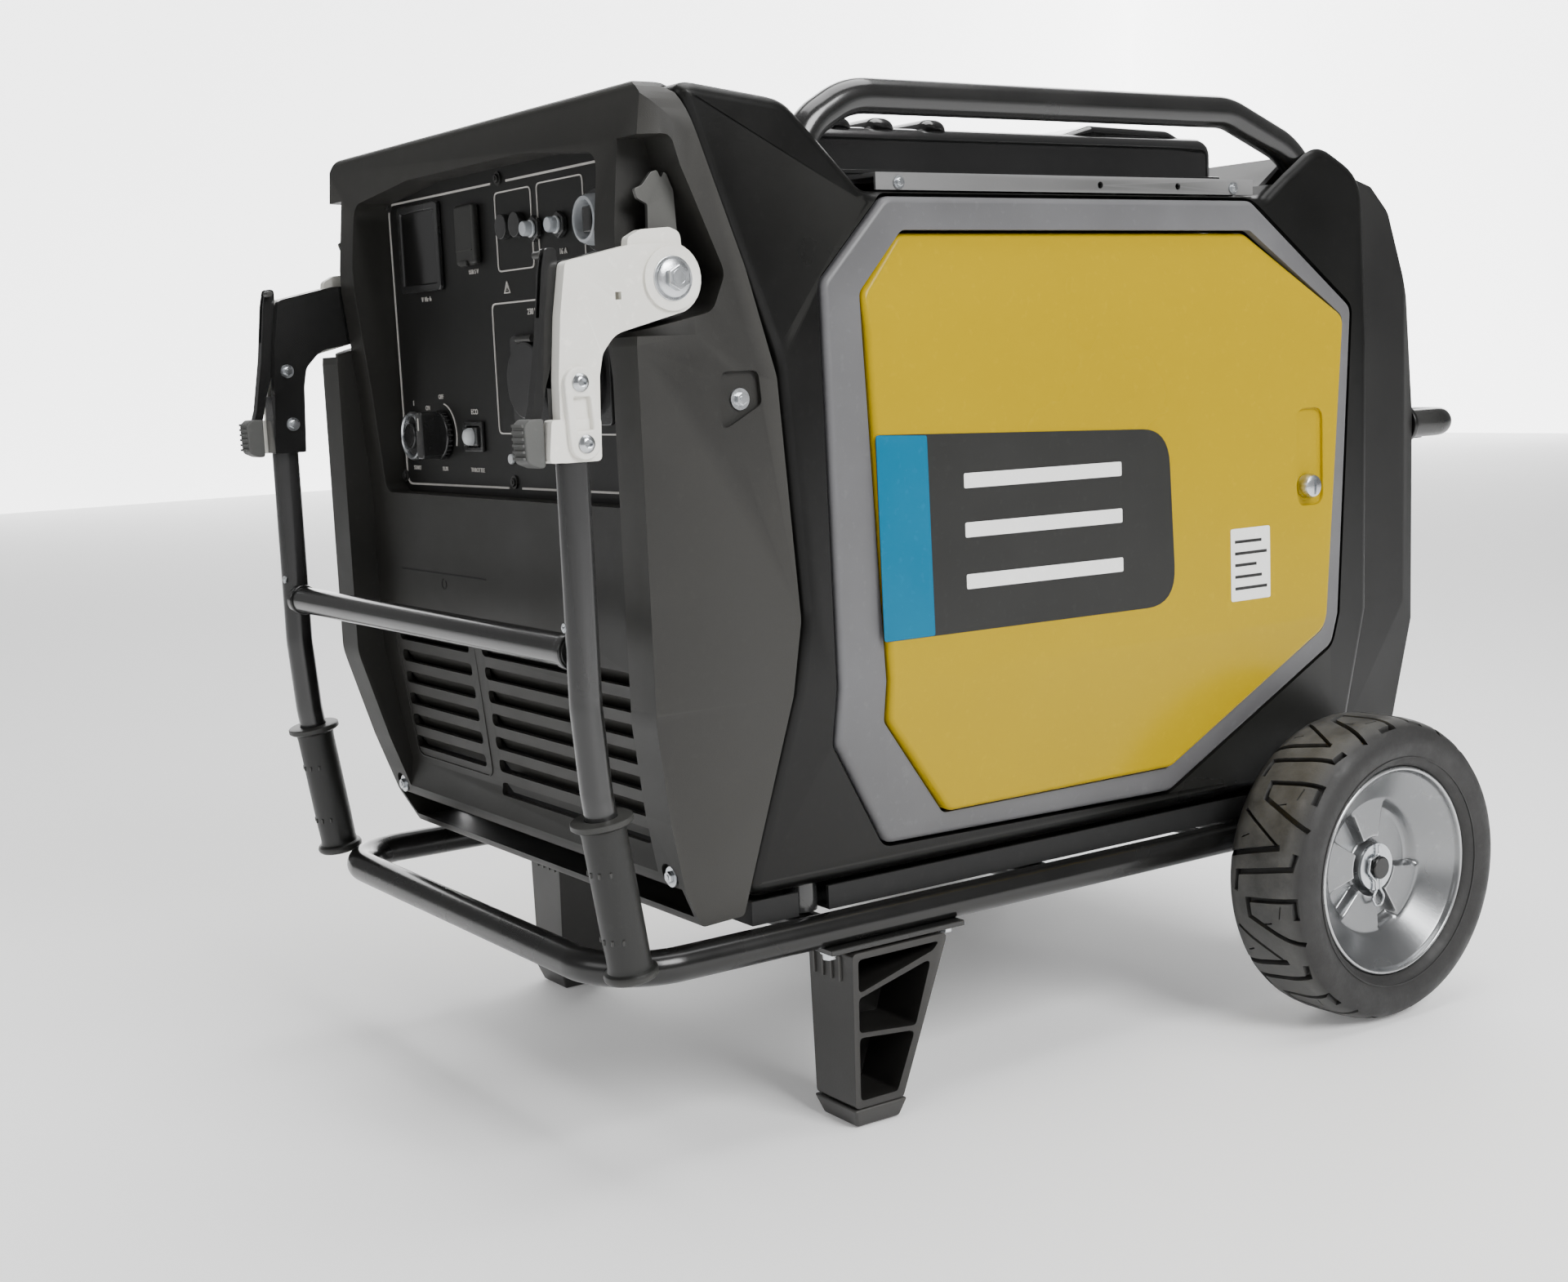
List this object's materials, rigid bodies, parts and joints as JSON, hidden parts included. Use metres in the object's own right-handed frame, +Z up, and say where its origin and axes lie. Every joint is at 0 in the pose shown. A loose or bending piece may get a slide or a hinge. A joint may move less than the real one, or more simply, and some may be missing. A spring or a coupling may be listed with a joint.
{
  "type": "portable inverter generator",
  "caption": "Wheeled inverter generator with folding front handles, side doors, top lifting rails, control panel and front support legs.",
  "frame": {"origin": "on the floor under the middle of the overall box, midway between the two sides", "axes": "+X to the right-hand side door, -Y to the control panel and folding handles, +Y to the rear handle and wheels, +Z up"},
  "size_m": [0.702, 0.9555, 0.7615],
  "materials": {
    "frame_black": "satin",
    "gloss_black": "gloss",
    "cover_plastic": "textured matte",
    "shroud_plastic": "satin",
    "panel_black": "matte",
    "tank_black": "gloss",
    "door_yellow": "gloss",
    "seal_rubber": "matte",
    "bracket_ivory": "satin",
    "grip_rubber": "matte",
    "tyre_rubber": "matte",
    "rim_silver": "satin",
    "zinc": "bright",
    "dark_steel": "satin",
    "cast_alloy": "as cast",
    "leg_plastic": "matte",
    "clear_cap": "translucent",
    "deck_grey": "satin",
    "button_black": "gloss"
  },
  "bodies": {
    "chassis": {"ac_outlet_1": "button_black", "ac_outlet_2": "button_black", "air_cleaner": "tank_black", "alternator_stator": "cast_alloy", "axle": "frame_black", "base_frame": "frame_black", "base_tray": "deck_grey", "battery": "tank_black", "control_panel": "panel_black", "display_window": "button_black", "engine_block": "cast_alloy", "front_cover": "cover_plastic", "fuel_tank": "tank_black", "inverter_unit": "cast_alloy", "left_door_seal": "seal_rubber", "left_foot": "grip_rubber", "left_hoop": "gloss_black", "left_leg": "leg_plastic", "left_lock_plate": "dark_steel", "left_pivot_bolt": "zinc", "left_shroud": "shroud_plastic", "muffler": "dark_steel", "rear_cover": "cover_plastic", "rear_handle": "frame_black", "right_door_seal": "seal_rubber", "right_foot": "grip_rubber", "right_hoop": "gloss_black", "right_leg": "leg_plastic", "right_lock_plate": "dark_steel", "right_pivot_bolt": "zinc", "right_shroud": "shroud_plastic", "top_deck": "deck_grey"},
    "handle": {"left_handle_tube": "gloss_black", "left_grip": "grip_rubber", "left_bracket_outer": "bracket_ivory", "left_bracket_inner": "gloss_black", "right_handle_tube": "gloss_black", "right_grip": "grip_rubber", "right_bracket_outer": "bracket_ivory", "right_bracket_inner": "gloss_black", "handle_crossbar": "gloss_black"},
    "left_lever": {"left_release_lever": "grip_rubber"},
    "right_lever": {"right_release_lever": "grip_rubber"},
    "left_wheel": {"left_tyre": "tyre_rubber", "left_rim": "rim_silver"},
    "right_wheel": {"right_tyre": "tyre_rubber", "right_rim": "rim_silver"},
    "left_side_door": {"left_door": "door_yellow"},
    "right_side_door": {"right_door": "door_yellow"},
    "left_latch": {"left_door_knob": "zinc"},
    "right_latch": {"right_door_knob": "zinc"},
    "filler_cap": {"fuel_cap": "tank_black"},
    "starter": {"start_button": "button_black"},
    "engine_switch": {"engine_switch_knob": "button_black"},
    "throttle_switch": {"eco_switch": "button_black"},
    "breaker_1": {"breaker_button_1": "clear_cap"},
    "breaker_2": {"breaker_button_2": "clear_cap"},
    "main_breaker_push": {"main_breaker": "clear_cap"},
    "crank": {"flywheel_rotor": "dark_steel"}
  },
  "joints": [
    {"name": "handle_fold", "type": "hinge", "parent": "chassis", "child": "handle", "pos_m": [0, -0.362, 0.623], "axis": [-1, 0, 0], "range_deg": [0, 76]},
    {"name": "left_lever_pull", "type": "hinge", "parent": "handle", "child": "left_lever", "pos_m": [-0.2555, -0.4468, 0.64], "axis": [-1, 0, 0], "range_deg": [0, 10], "stiffness_Nm_per_rad": 0.6, "springref_deg": -17.19},
    {"name": "left_wheel_spin", "type": "hinge", "parent": "chassis", "child": "left_wheel", "pos_m": [-0.309, 0.265, 0.127], "axis": [1, 0, 0], "continuous": true},
    {"name": "left_door_swing", "type": "hinge", "parent": "chassis", "child": "left_side_door", "pos_m": [-0.285, -0.2035, 0.44], "axis": [0, 0, 1], "range_deg": [0, 100]},
    {"name": "left_latch_turn", "type": "hinge", "parent": "left_side_door", "child": "left_latch", "pos_m": [-0.2735, 0.241, 0.446], "axis": [1, 0, 0], "range_deg": [0, 90]},
    {"name": "right_lever_pull", "type": "hinge", "parent": "handle", "child": "right_lever", "pos_m": [0.2555, -0.4468, 0.64], "axis": [-1, 0, 0], "range_deg": [0, 10], "stiffness_Nm_per_rad": 0.6, "springref_deg": -17.19},
    {"name": "right_wheel_spin", "type": "hinge", "parent": "chassis", "child": "right_wheel", "pos_m": [0.309, 0.265, 0.127], "axis": [1, 0, 0], "continuous": true},
    {"name": "right_door_swing", "type": "hinge", "parent": "chassis", "child": "right_side_door", "pos_m": [0.285, -0.2035, 0.44], "axis": [0, 0, -1], "range_deg": [0, 100]},
    {"name": "right_latch_turn", "type": "hinge", "parent": "right_side_door", "child": "right_latch", "pos_m": [0.2735, 0.241, 0.446], "axis": [1, 0, 0], "range_deg": [0, 90]},
    {"name": "fuel_cap_turn", "type": "hinge", "parent": "chassis", "child": "filler_cap", "pos_m": [0, -0.06, 0.7388], "axis": [0, 0, 1], "range_deg": [0, 90]},
    {"name": "start_button_push", "type": "slide", "parent": "chassis", "child": "starter", "axis": [0, 1, 0], "range_m": [0, 0.003], "stiffness_N_per_m": 300, "springref_m": -0.001},
    {"name": "engine_switch_turn", "type": "hinge", "parent": "chassis", "child": "engine_switch", "pos_m": [-0.125, -0.35, 0.518], "axis": [0, 1, 0], "range_deg": [0, 90]},
    {"name": "throttle_switch_rock", "type": "hinge", "parent": "chassis", "child": "throttle_switch", "pos_m": [-0.064, -0.35, 0.517], "axis": [0, 0, 1], "range_deg": [-8, 8]},
    {"name": "breaker_1_push", "type": "slide", "parent": "chassis", "child": "breaker_1", "axis": [0, 1, 0], "range_m": [0, 0.003], "stiffness_N_per_m": 300, "springref_m": -0.001},
    {"name": "breaker_2_push", "type": "slide", "parent": "chassis", "child": "breaker_2", "axis": [0, 1, 0], "range_m": [0, 0.003], "stiffness_N_per_m": 300, "springref_m": -0.001},
    {"name": "main_breaker_push", "type": "slide", "parent": "chassis", "child": "main_breaker_push", "axis": [0, 1, 0], "range_m": [0, 0.004], "stiffness_N_per_m": 400, "springref_m": -0.001},
    {"name": "crank_spin", "type": "hinge", "parent": "chassis", "child": "crank", "pos_m": [0, -0.085, 0.29], "axis": [0, 1, 0], "continuous": true}
  ]
}
